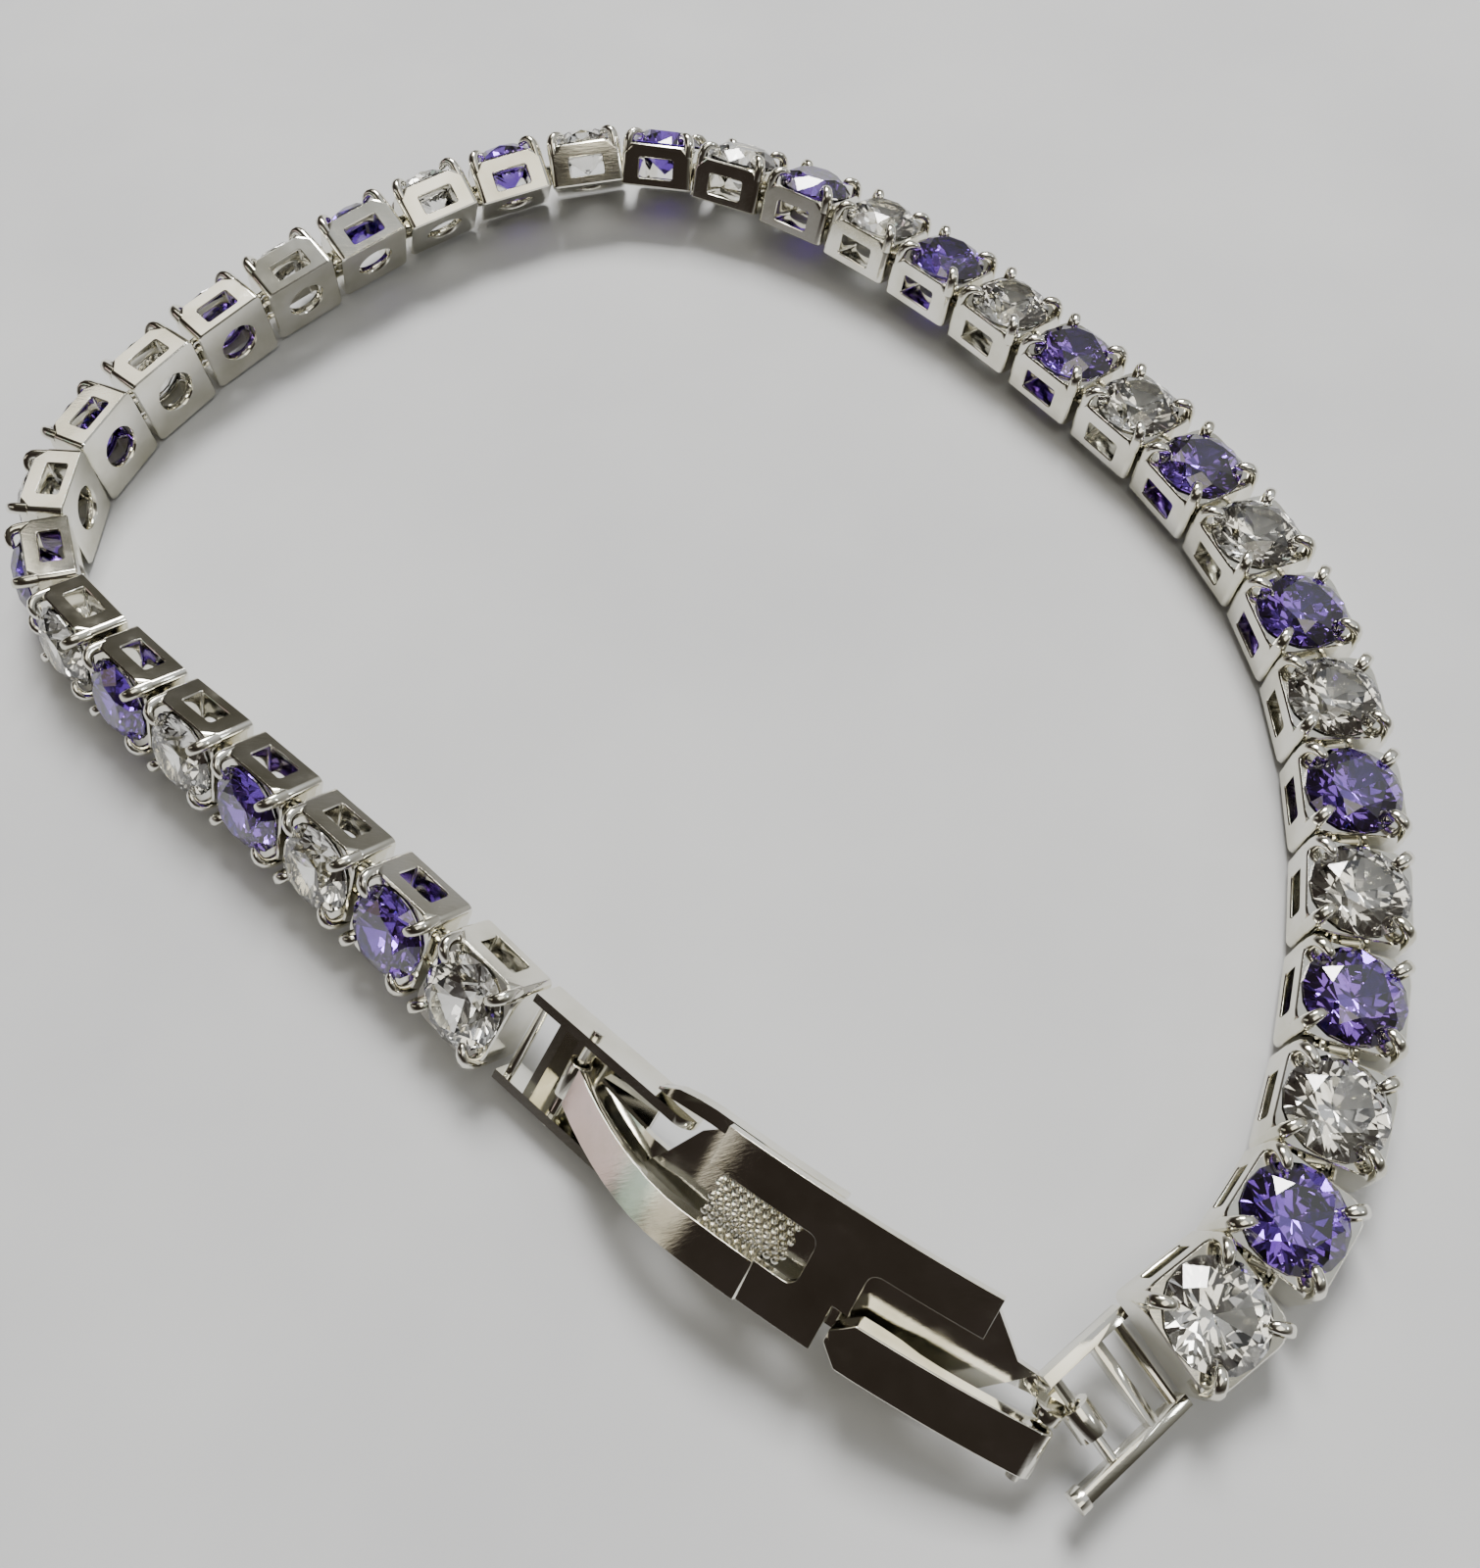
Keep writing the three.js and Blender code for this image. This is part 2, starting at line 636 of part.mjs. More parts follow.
// The inner plate: a curved strip with a neck that starts at the strap's pin, a lip along its
// upper side, a stem with an ear for the latch pin, and an eye for the rods' cross pin
function baseSides(x) {
  const { lerp, smoothstep } = THREE.MathUtils;
  const neckEnd = BASE_START + NECK_LENGTH;
  const stemStart = CLASP_SPAN - STEM_LENGTH;
  const drift = Math.tan(radians(CLASP_ROUTE.heading - CLASP_ROUTE.leftHeading)) * Math.min(x, neckEnd);
  const widening = smoothstep(x, neckEnd, neckEnd + TAPER);
  const widened = lerp(NECK_WIDTH, BASE_WIDTH, widening) / 2;
  const half = lerp(widened, STEM_WIDTH / 2, smoothstep(x, stemStart - 2 * TAPER, stemStart));
  const middle = -drift * (1 - widening);
  return [middle - half, middle + half];
}

// The lip's outer side curves in at its left end, past the channel's rail
function lipSides(x) {
  const outer = BASE_WIDTH / 2 + LIP_WIDTH;
  const share = THREE.MathUtils.clamp((x - LIP_START) / (2 * TAPER), 0, 1);
  const cut = LIP_WIDTH * (1 - Math.sqrt(1 - (1 - share) ** 2));
  return [outer - LIP_WIDTH - FUSE / 2, outer - cut];
}

// How far the plate's top lies under the clasp's curve: it sinks between its two ends
function baseTop(x) {
  const { smoothstep } = THREE.MathUtils;
  const neckEnd = BASE_START + NECK_LENGTH;
  const stemStart = CLASP_SPAN - STEM_LENGTH;
  const sunk = smoothstep(x, neckEnd - TAPER, neckEnd + TAPER) - smoothstep(x, stemStart, CLASP_SPAN);
  return -PLATE_GAP - BASE_SINK * sunk;
}

const baseLow = (x) => baseTop(x) - BASE_PLATE;

function claspBase(eyeMatrix) {
  const end = CLASP_SPAN - LINK_PIN_RADIUS - PIN_CLEARANCE;
  const plate = curvedStrip(BASE_START, end, baseLow, baseTop, baseSides);
  const lipTop = (x) => baseTop(x) + BASE_PLATE;
  const lip = curvedStrip(LIP_START, LIP_END, baseLow, lipTop, lipSides);
  const rise = claspRise(LATCH_PIN_PLACE) + LATCH_THICKNESS / 2;
  const earRight = latchSides()[1] + END_GAP;
  const ear = crossPin(LATCH_EYE_RADIUS, earRight, EAR_LEFT, LATCH_PIN_PLACE, rise, EYE_SIDES);
  const footDepth = LATCH_THICKNESS / 2 + PLATE_GAP + BASE_SINK;
  const earFoot = box(
    at(LATCH_PIN_PLACE - LATCH_EYE_RADIUS, earRight, rise - footDepth),
    at(LATCH_PIN_PLACE + LATCH_EYE_RADIUS, EAR_LEFT, rise),
  );
  const pinRight = latchSides()[0] - LATCH_PIN_OVERHANG;
  const latchPin = crossPin(LATCH_PIN_RADIUS, pinRight, EAR_LEFT - FUSE / 2, LATCH_PIN_PLACE, rise);
  const ring = crossPin(EYE_RADIUS, -EYE_WIDTH / 2, EYE_WIDTH / 2, 0, 0, EYE_SIDES).applyMatrix4(eyeMatrix);
  const pinRadius = LINK_PIN_RADIUS + PIN_CLEARANCE;
  const hole = crossPin(pinRadius, -EYE_WIDTH * 2, EYE_WIDTH * 2, 0, 0).applyMatrix4(eyeMatrix);
  const solid = join([plate, lip, ear, earFoot, latchPin, ring]);
  return toGeometry(solid.subtract(toManifold(hole)));
}

// Two rods from the first setting to the clasp, a cross wall, and a cross pin at each end. The
// lower rod runs on past the clasp to a round head.
function rodsRight() {
  const half = ROD_SPREAD / 2;
  const inner = half - ROD_THICKNESS;
  const deep = ROD_HEIGHT / 2;
  const end = ROD_SPAN + EYE_OFFSET - JOINT_GAP;
  const rod = (side, start) => {
    const near = side > 0 ? inner : -half;
    return box(at(start, near, -deep), at(end, near + ROD_THICKNESS, deep));
  };
  const head = new THREE.CylinderGeometry(HEAD_RADIUS, HEAD_RADIUS, ROD_THICKNESS, EYE_SIDES);
  head.rotateZ(Math.PI / 2);
  head.translate(-ROD_OVERRUN, -half + ROD_THICKNESS / 2, 0);
  const wallAt = ROD_SPAN - EYE_RADIUS - JOINT_GAP - RAIL_THICKNESS;
  const reach = inner + FUSE / 2;
  const wall = box(at(wallAt, -reach, -deep), at(wallAt + RAIL_THICKNESS, reach, deep));
  const pins = [0, ROD_SPAN].map((x) => crossPin(LINK_PIN_RADIUS, -reach, reach, x, 0));
  return toGeometry(join([rod(1, -deep), rod(-1, -ROD_OVERRUN), head, wall, ...pins]));
}

// Assembly

const materials = {
  silver: new THREE.MeshStandardMaterial({ color: 0xc9c8c0, roughness: 0.12, metalness: 1 }),
  clear: new THREE.MeshStandardMaterial({ color: 0xe8ece8, roughness: 0.03, metalness: 0 }),
  violet: new THREE.MeshStandardMaterial({ color: 0x4a3199, roughness: 0.03, metalness: 0 }),
};

function piece(name, geometry, material) {
  const mesh = new THREE.Mesh(geometry, material);
  mesh.name = name;
  return mesh;
}

function addPlaced(parent, name, geometry, material, matrix) {
  const mesh = piece(name, geometry, material);
  mesh.applyMatrix4(matrix);
  parent.add(mesh);
}

function buildChain(parent, frames) {
  parent.add(piece('settings_right', settingsRun(frames, 0, RIGHT_RUN - 1), materials.silver));
  parent.add(piece('settings_left', settingsRun(frames, RIGHT_RUN, STONE_COUNT - 1), materials.silver));
  const stone = stoneGeometry();
  frames.forEach((frame, link) => {
    const isClear = link % 2 === 0;
    const number = String(link + 1).padStart(2, '0');
    const name = `stone_${number}_${isClear ? 'clear' : 'violet'}`;
    addPlaced(parent, name, stone, isClear ? materials.clear : materials.violet, frame);
  });
}

function buildClasp(parent, pivots) {
  const { leftLink, strapPin, claspEnd, rightLink } = pivots;
  const leftFrame = placeAt(leftLink, strapPin, CLASP_ROUTE.leftTilt, leftLink);
  const claspFrame = placeAt(strapPin, claspEnd, CLASP_ROUTE.tilt, strapPin);
  const rodFrame = placeAt(claspEnd, rightLink, CLASP_ROUTE.rightTilt, claspEnd);
  const pinFrame = placeAt(leftLink, strapPin, CLASP_ROUTE.leftTilt, strapPin);
  const toClasp = claspFrame.clone().invert();
  const eyeMatrix = toClasp.clone().multiply(rodFrame);
  const pinMatrix = toClasp.clone().multiply(pinFrame);
  addPlaced(parent, 'channel_left', channelLeft(), materials.silver, leftFrame);
  addPlaced(parent, 'clasp_base', claspBase(eyeMatrix), materials.silver, claspFrame);
  addPlaced(parent, 'clasp_cover', claspCover(pinMatrix), materials.silver, claspFrame);
  addPlaced(parent, 'latch_tongue', latchTongue(), materials.silver, claspFrame);
  addPlaced(parent, 'rods_right', rodsRight(), materials.silver, rodFrame);
}

function buildBracelet() {
  const bracelet = new THREE.Group();
  const pivots = claspPivots();
  const frames = linkFrames(closedChain(pivots));
  buildChain(bracelet, frames);
  buildClasp(bracelet, pivots);
  bracelet.updateMatrixWorld(true);
  const extent = new THREE.Box3().setFromObject(bracelet, true);
  const middle = extent.getCenter(new THREE.Vector3());
  bracelet.position.set(-middle.x, -middle.y, -extent.min.z);
  const whole = new THREE.Group();
  whole.add(bracelet);
  return whole;
}

export default buildBracelet();
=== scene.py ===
"""Looks of the tennis bracelet: cut stones, polished settings, clasp, surface, light and camera."""
import math

import bmesh
import bpy
from mathutils import Matrix, Vector


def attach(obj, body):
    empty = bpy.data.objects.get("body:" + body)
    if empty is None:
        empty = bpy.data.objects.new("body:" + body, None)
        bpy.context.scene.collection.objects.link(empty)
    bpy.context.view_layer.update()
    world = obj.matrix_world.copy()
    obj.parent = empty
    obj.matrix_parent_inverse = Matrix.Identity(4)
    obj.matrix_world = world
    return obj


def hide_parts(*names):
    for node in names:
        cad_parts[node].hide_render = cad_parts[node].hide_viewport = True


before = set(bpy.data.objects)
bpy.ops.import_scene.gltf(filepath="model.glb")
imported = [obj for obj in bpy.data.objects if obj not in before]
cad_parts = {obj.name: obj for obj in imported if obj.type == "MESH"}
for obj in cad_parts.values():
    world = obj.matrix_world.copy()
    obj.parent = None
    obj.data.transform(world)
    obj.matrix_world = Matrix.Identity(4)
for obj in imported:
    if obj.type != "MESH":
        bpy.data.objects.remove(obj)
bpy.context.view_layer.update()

# Lengths are in millimetres, except where a comment says metres.
MM = 0.001
STONE_COUNT = 35
RIGHT_RUN = 14
PITCH = 4.45
SETTING_LENGTH = 4.0
SETTING_WIDTH = 4.1
BASE_DROP = 1.0
RIM_RISE = 1.15
GIRDLE_RISE = 1.27
STONE_RADIUS = 1.95
CROWN_HEIGHT = 0.62
PAVILION_DEPTH = 1.6


# Shader helpers

def new_material(name):
    material = bpy.data.materials.new(name)
    material.use_nodes = True
    tree = material.node_tree
    shader = tree.nodes["Principled BSDF"]
    return material, tree, shader


def add_node(tree, kind, **values):
    """A node with the values given, each an input of its own name or else a setting."""
    node = tree.nodes.new(kind)
    for name, value in values.items():
        if name in node.inputs:
            node.inputs[name].default_value = value
        else:
            setattr(node, name, value)
    return node


def noise_node(tree, scale, detail, roughness=0.5, stretch=None):
    """Noise over the object's own coordinates, with an optional stretch along each axis."""
    place = add_node(tree, "ShaderNodeTexCoord")
    noise = add_node(tree, "ShaderNodeTexNoise", Scale=scale, Detail=detail, Roughness=roughness)
    source = place.outputs["Object"]
    if stretch:
        mapping = add_node(tree, "ShaderNodeMapping")
        mapping.inputs["Scale"].default_value = stretch
        tree.links.new(source, mapping.inputs["Vector"])
        source = mapping.outputs["Vector"]
    tree.links.new(source, noise.inputs["Vector"])
    return noise


def ramp_node(tree, source, stops):
    """A colour ramp over the source. Each stop is a position and a colour."""
    ramp = add_node(tree, "ShaderNodeValToRGB")
    elements = ramp.color_ramp.elements
    while len(elements) < len(stops):
        elements.new(0.5)
    for element, (place, colour) in zip(elements, stops):
        element.position = place
        element.color = (*colour, 1.0)
    tree.links.new(source, ramp.inputs["Fac"])
    return ramp


def add_bump(tree, shader, source, strength, distance):
    bump = add_node(tree, "ShaderNodeBump", Strength=strength, Distance=distance)
    tree.links.new(source, bump.inputs["Height"])
    tree.links.new(bump.outputs["Normal"], shader.inputs["Normal"])


def silver_material():
    """Rhodium-plated silver: a mirror polish with faint cloudiness, fine scratches and warm tint."""
    material, tree, shader = new_material("polished_silver")
    shader.inputs["Metallic"].default_value = 1.0
    tint = noise_node(tree, scale=420.0, detail=4.0)
    colour = ramp_node(tree, tint.outputs["Fac"], [
        (0.30, (0.70, 0.68, 0.57)),
        (0.52, (0.84, 0.82, 0.73)),
        (0.72, (0.90, 0.89, 0.83)),
    ])
    tree.links.new(colour.outputs["Color"], shader.inputs["Base Color"])
    cloud = noise_node(tree, scale=900.0, detail=5.0)
    gloss = ramp_node(tree, cloud.outputs["Fac"], [
        (0.35, (0.05, 0.05, 0.05)),
        (0.62, (0.11, 0.11, 0.11)),
        (0.80, (0.20, 0.20, 0.20)),
    ])
    tree.links.new(gloss.outputs["Color"], shader.inputs["Roughness"])
    scratches = noise_node(tree, scale=1500.0, detail=6.0, roughness=0.65, stretch=(1.0, 6.0, 2.0))
    add_bump(tree, shader, scratches.outputs["Fac"], strength=0.12, distance=0.02 * MM)
    return material


def stone_material(name, deep, light, ior, roughness):
    """A clear hard stone, its tint drifting a little between two colours inside it."""
    material, tree, shader = new_material(name)
    tint = noise_node(tree, scale=260.0, detail=2.0)
    colour = ramp_node(tree, tint.outputs["Fac"], [(0.35, deep), (0.68, light)])
    tree.links.new(colour.outputs["Color"], shader.inputs["Base Color"])
    shader.inputs["Transmission Weight"].default_value = 1.0
    shader.inputs["Roughness"].default_value = roughness
    shader.inputs["IOR"].default_value = ior
    return material


def surface_material():
    """Plain pale board with a very faint mottle."""
    material, tree, shader = new_material("pale_surface")
    mottle = noise_node(tree, scale=60.0, detail=6.0)
    colour = ramp_node(tree, mottle.outputs["Fac"], [
        (0.35, (0.53, 0.54, 0.56)),
        (0.65, (0.58, 0.59, 0.605)),
    ])
    tree.links.new(colour.outputs["Color"], shader.inputs["Base Color"])
    shader.inputs["Roughness"].default_value = 0.85
    return material


MATERIALS = {
    "silver": silver_material(),
    "clear_stone": stone_material(
        "clear_stone", deep=(0.98, 0.97, 0.93), light=(1.0, 1.0, 0.98), ior=2.0, roughness=0.03,
    ),
    "violet_stone": stone_material(
        "violet_stone", deep=(0.11, 0.035, 0.46), light=(0.27, 0.13, 0.70), ior=2.15, roughness=0.01,
    ),
}


# Object and mesh helpers

BEVEL_SEGMENTS = 2
BEVEL_ANGLE = 32


def placed(name, data):
    """An object of the data, in the scene."""
    thing = bpy.data.objects.new(name, data)
    bpy.context.scene.collection.objects.link(thing)
    return thing


def replace_node(node, ending, mesh, body, slot, smooth_angle=None):
    """A piece that rides on the body and shows in place of the CAD node."""
    thing = placed(node + ending, mesh)
    mesh.materials.clear()
    mesh.materials.append(MATERIALS[slot])
    if smooth_angle is not None:
        mesh.shade_smooth()
        mesh.set_sharp_from_angle(angle=math.radians(smooth_angle))
    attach(thing, body)
    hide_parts(node)


def mesh_of(shape, name):
    """The bmesh as a mesh. The bmesh is freed."""
    mesh = bpy.data.meshes.new(name)
    shape.to_mesh(mesh)
    shape.free()
    return mesh


def mesh_from(name, points, faces):
    mesh = bpy.data.meshes.new(name)
    mesh.from_pydata([tuple(point) for point in points], [], faces)
    mesh.validate()
    mesh.update()
    return mesh


def outward(shape):
    bmesh.ops.recalc_face_normals(shape, faces=shape.faces)


def circle(radius, sides, turn=0.0):
    """Points round a circle, the first turned on by a share of a side."""
    angles = [math.tau * (k + turn) / sides for k in range(sides)]
    return [(radius * math.cos(angle), radius * math.sin(angle)) for angle in angles]


def rounded_outline(half_x, half_y, radius, corner_steps, middle=(0.0, 0.0)):
    """Points round a rectangle with round corners, counter-clockwise."""
    points = []
    for turn, (side_x, side_y) in enumerate([(1, 1), (-1, 1), (-1, -1), (1, -1)]):
        for step in range(corner_steps + 1):
            angle = math.radians(90 * turn + 90 * step / corner_steps)
            points.append((
                middle[0] + side_x * (half_x - radius) + radius * math.cos(angle),
                middle[1] + side_y * (half_y - radius) + radius * math.sin(angle),
            ))
    return points


def flat_ring(points, height):
    return [Vector((x, y, height)) for x, y in points]


def loft(shape, rings):
    """A closed skin through rings of points, with a face over each end, added to a bmesh."""
    rows = [[shape.verts.new(point) for point in ring] for ring in rings]
    count = len(rings[0])
    for row, upper in zip(rows, rows[1:]):
        for k in range(count):
            after = (k + 1) % count
            shape.faces.new((row[k], row[after], upper[after], upper[k]))
    shape.faces.new(list(reversed(rows[0])))
    shape.faces.new(rows[-1])


def lofted(name, rings):
    shape = bmesh.new()
    loft(shape, rings)
    outward(shape)
    return mesh_of(shape, name)


def cut_and_rounded(mesh, cutters, edge, flat_faces=True):
    """The mesh less the cutters, its sharp edges rounded and its flat faces shaded flat if asked."""
    holder = placed("cut_body", mesh)
    helpers = [placed("cutter", cutter) for cutter in cutters]
    for helper in helpers:
        modifier = holder.modifiers.new("cut", "BOOLEAN")
        modifier.operation = "DIFFERENCE"
        modifier.solver = "EXACT"
        modifier.object = helper
    mesh.shade_smooth()
    add_bevel(holder, edge)
    if flat_faces:
        weights = holder.modifiers.new("weights", "WEIGHTED_NORMAL")
        weights.keep_sharp = True
    bpy.context.view_layer.update()
    graph = bpy.context.evaluated_depsgraph_get()
    result = bpy.data.meshes.new_from_object(holder.evaluated_get(graph))
    for helper in [*helpers, holder]:
        bpy.data.objects.remove(helper)
    return result


def add_bevel(thing, width):
    bevel = thing.modifiers.new("edges", "BEVEL")
    bevel.width = width
    bevel.segments = BEVEL_SEGMENTS
    bevel.limit_method = "ANGLE"
    bevel.angle_limit = math.radians(BEVEL_ANGLE)
    bevel.miter_outer = "MITER_ARC"


# Link frames, read from the stones of the CAD model

ROUNDING_DIGITS = 7
GIRDLE_SLACK = 0.02
SAME_POINT = 0.001


def distinct_points(thing):
    rounded = {
        tuple(round(value, ROUNDING_DIGITS) for value in vertex.co) for vertex in thing.data.vertices
    }
    return [Vector(point) for point in sorted(rounded)]


def basis_matrix(along, across, away, origin):
    """From millimetres in a frame to metres in the scene."""
    rows = [(along[k], across[k], away[k], origin[k]) for k in range(3)]
    return Matrix((*rows, (0, 0, 0, 1))) @ Matrix.Scale(MM, 4)


def lonely(point, points):
    """How far a point is from its nearest neighbour. The culet has the farthest."""
    gaps = [(point - other).length for other in points]
    return min(gap for gap in gaps if gap > SAME_POINT * MM)


def stone_matrix(points, guess):
    """One stone's frame: Z from the culet to the table, X to the girdle corner nearest the guess."""
    centre = sum(points, Vector()) / len(points)
    culet = max(points, key=lambda point: lonely(point, points))
    away = (centre - culet).normalized()
    reach = STONE_RADIUS * MM
    slack = GIRDLE_SLACK * MM
    girdle = [point for point in points if abs((point - culet).cross(away).length - reach) < slack]
    nearest = max(girdle, key=lambda point: (point - culet).dot(guess))
    along = nearest - culet
    along = (along - away * along.dot(away)).normalized()
    origin = culet + away * (PAVILION_DEPTH - GIRDLE_RISE) * MM
    return basis_matrix(along, away.cross(along), away, origin)


def link_matrices():
    """The stones' names and a frame for each link: X along the chain, Z away from the wrist."""
    names = sorted(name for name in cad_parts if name.startswith("stone_"))
    clouds = [distinct_points(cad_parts[name]) for name in names]
    middles = [sum(points, Vector()) / len(points) for points in clouds]
    matrices = []
    for link, points in enumerate(clouds):
        guess = middles[min(link + 1, STONE_COUNT - 1)] - middles[max(link - 1, 0)]
        matrices.append(stone_matrix(points, guess.normalized()))
    return names, matrices


# Settings

SETTING_EDGE = 0.035
SETTING_SMOOTH_ANGLE = 38

CORNER_RADIUS = 0.3
TOP_CORNER_RADIUS = 0.95
SHOULDER_CORNER_RADIUS = 0.85
CORNER_STEPS = 5
FOOT_EDGE = 0.07
RIM_EDGE = 0.07
RIM_INSET = 0.06
SHOULDER_DROP = 0.55
BLOCK_RINGS = [
    {"inset": FOOT_EDGE, "height": -BASE_DROP, "radius": CORNER_RADIUS},
    {"inset": 0.0, "height": -BASE_DROP + FOOT_EDGE, "radius": CORNER_RADIUS},
    {"inset": 0.0, "height": RIM_RISE - SHOULDER_DROP, "radius": CORNER_RADIUS},
    {"inset": 0.0, "height": RIM_RISE - RIM_EDGE, "radius": SHOULDER_CORNER_RADIUS},
    {"inset": RIM_INSET, "height": RIM_RISE, "radius": TOP_CORNER_RADIUS},
]

SEAT_FLOOR = -0.2
SEAT_HOLE = 1.0
SEAT_WALL = 0.13
SEAT_SIDES = 48
SEAT_EXTRA = 1.0
HOLE_FLARE = 0.12
HOLE_FLARE_RISE = 0.15
HOLE_EXTRA = 0.1

WINDOW_HALF_LENGTH = 0.95
WINDOW_LOW = -0.55
WINDOW_HIGH = 0.45
WINDOW_CORNER = 0.12
WINDOW_CORNER_STEPS = 4
WINDOW_FLARE = 0.08
WINDOW_FLARE_DEPTH = 0.06
WINDOW_EXTRA = 0.05

CLAW_SIDES = 14
CLAW_SQUARENESS = 0.75
CLAW_PATH = [
    {"reach": 2.44, "rise": 0.70, "width": 0.60, "depth": 0.52},
    {"reach": 2.44, "rise": 1.15, "width": 0.58, "depth": 0.52},
    {"reach": 2.41, "rise": 1.38, "width": 0.55, "depth": 0.50},
    {"reach": 2.32, "rise": 1.57, "width": 0.52, "depth": 0.46},
    {"reach": 2.15, "rise": 1.69, "width": 0.49, "depth": 0.42},
    {"reach": 1.95, "rise": 1.72, "width": 0.46, "depth": 0.38},
    {"reach": 1.76, "rise": 1.69, "width": 0.41, "depth": 0.34},
    {"reach": 1.62, "rise": 1.64, "width": 0.33, "depth": 0.26},
    {"reach": 1.54, "rise": 1.60, "width": 0.20, "depth": 0.12},
]

HINGE_RISE = -0.05
BARREL_RADIUS = 0.3
BARREL_HALF_LENGTH = 0.42
BARREL_RIM = 0.25 * BARREL_RADIUS
BARREL_SIDES = 20
LOOP_OFFSET = 0.62
LOOP_RADIUS = 0.32
LOOP_WIRE = 0.13
LOOP_STRETCH = 1.25
LOOP_STEPS = 20
LOOP_SIDES = 8


def block_mesh():
    """The setting's box, its edges softly rounded and its corners rounder towards the rim."""
    rings = []
    for row in BLOCK_RINGS:
        half_x = SETTING_LENGTH / 2 - row["inset"]
        half_y = SETTING_WIDTH / 2 - row["inset"]
        outline = rounded_outline(half_x, half_y, row["radius"] - row["inset"], CORNER_STEPS)
        rings.append(flat_ring(outline, row["height"]))
    return lofted("setting_block", rings)


def seat_mesh():
    """What is cut from the block for the stone: a cone down to a round hole, flared at its foot."""
    top = SETTING_LENGTH / 2 - SEAT_WALL
    slope = (top - SEAT_HOLE) / (RIM_RISE - SEAT_FLOOR)
    rings = []
    for radius, height in [
        (SEAT_HOLE + HOLE_FLARE, -BASE_DROP - HOLE_EXTRA),
        (SEAT_HOLE, -BASE_DROP + HOLE_FLARE_RISE),
        (SEAT_HOLE, SEAT_FLOOR),
        (top, RIM_RISE),
        (top + slope * SEAT_EXTRA, RIM_RISE + SEAT_EXTRA),
    ]:
        rings.append(flat_ring(circle(radius, SEAT_SIDES), height))
    return lofted("seat", rings)


def window_mesh():
    """What is cut from the block for the windows in its two side walls, flared at both ends."""
    middle = (0.0, (WINDOW_LOW + WINDOW_HIGH) / 2)
    half_height = (WINDOW_HIGH - WINDOW_LOW) / 2
    deep = SETTING_WIDTH / 2
    rings = []
    for side, flare in [
        (-deep - WINDOW_EXTRA, WINDOW_FLARE),
        (-deep + WINDOW_FLARE_DEPTH, 0.0),
        (deep - WINDOW_FLARE_DEPTH, 0.0),
        (deep + WINDOW_EXTRA, WINDOW_FLARE),
    ]:
        half_x = WINDOW_HALF_LENGTH + flare
        half_z = half_height + flare
        outline = rounded_outline(half_x, half_z, WINDOW_CORNER + flare, WINDOW_CORNER_STEPS, middle)
        rings.append([Vector((x, side, z)) for x, z in outline])
    return lofted("window", rings)


def rounded_square(value):
    """Pushes a circle's coordinate outwards, towards a square's."""
    return math.copysign(abs(value) ** CLAW_SQUARENESS, value)


def add_claw(shape, sign_x, sign_y):
    """One claw: a rounded finger from the corner, bent over the stone."""
    out = Vector((sign_x * SETTING_LENGTH, sign_y * SETTING_WIDTH, 0)).normalized()
    side = Vector((-out.y, out.x, 0))
    up = Vector((0, 0, 1))
    rings = []
    for step, stop in enumerate(CLAW_PATH):
        before = CLAW_PATH[max(step - 1, 0)]
        after = CLAW_PATH[min(step + 1, len(CLAW_PATH) - 1)]
        way = Vector((after["reach"] - before["reach"], after["rise"] - before["rise"])).normalized()
        deep = out * way.y - up * way.x
        centre = out * stop["reach"] + up * stop["rise"]
        ring = []
        for x, y in circle(1.0, CLAW_SIDES):
            across = rounded_square(x) * stop["width"] / 2
            inward = rounded_square(y) * stop["depth"] / 2
            ring.append(centre + side * across + deep * inward)
        rings.append(ring)
    loft(shape, rings)


def add_loop(shape, centre):
    """A round wire loop about the Y axis, stretched along X."""
    rows = []
    for out_x, out_z in circle(1.0, LOOP_STEPS):
        out = Vector((out_x, 0, out_z))
        row = []
        for beyond, side in circle(LOOP_WIRE, LOOP_SIDES):
            offset = out * (LOOP_RADIUS + beyond) + Vector((0, side, 0))
            row.append(shape.verts.new(centre + Vector((offset.x * LOOP_STRETCH, offset.y, offset.z))))
        rows.append(row)
    for step, row in enumerate(rows):
        after = rows[(step + 1) % LOOP_STEPS]
        for k in range(LOOP_SIDES):
            beside = (k + 1) % LOOP_SIDES
            shape.faces.new((row[k], after[k], after[beside], row[beside]))


def add_barrel(shape, centre):
    """A short rod along Y with rounded ends."""
    rings = []
    for y, radius in [
        (-BARREL_HALF_LENGTH, BARREL_RADIUS - BARREL_RIM),
        (-BARREL_HALF_LENGTH + BARREL_RIM, BARREL_RADIUS),
        (BARREL_HALF_LENGTH - BARREL_RIM, BARREL_RADIUS),
        (BARREL_HALF_LENGTH, BARREL_RADIUS - BARREL_RIM),
    ]:
        rings.append([centre + Vector((x, y, z)) for x, z in circle(radius, BARREL_SIDES)])
    loft(shape, rings)


def add_hinge(shape):
    """The knuckle in the gap after a setting: a barrel between two loops."""
    middle = Vector((PITCH / 2, 0, HINGE_RISE))
    add_barrel(shape, middle)
    for side in (-1, 1):
        add_loop(shape, middle + Vector((0, side * LOOP_OFFSET, 0)))


def setting_mesh(with_hinge):
    body = cut_and_rounded(block_mesh(), [seat_mesh(), window_mesh()], SETTING_EDGE)
    shape = bmesh.new()
    shape.from_mesh(body)
    for sign_x in (-1, 1):
        for sign_y in (-1, 1):
            add_claw(shape, sign_x, sign_y)
    if with_hinge:
        add_hinge(shape)
    outward(shape)
    return mesh_of(shape, "setting")


def joined_copies(name, copies):
    """One mesh of many. Each copy is a mesh and the matrix that moves it."""
    shape = bmesh.new()
    for mesh, matrix in copies:
        copy = mesh.copy()
        copy.transform(matrix)
        shape.from_mesh(copy)
        bpy.data.meshes.remove(copy)
    return mesh_of(shape, name)


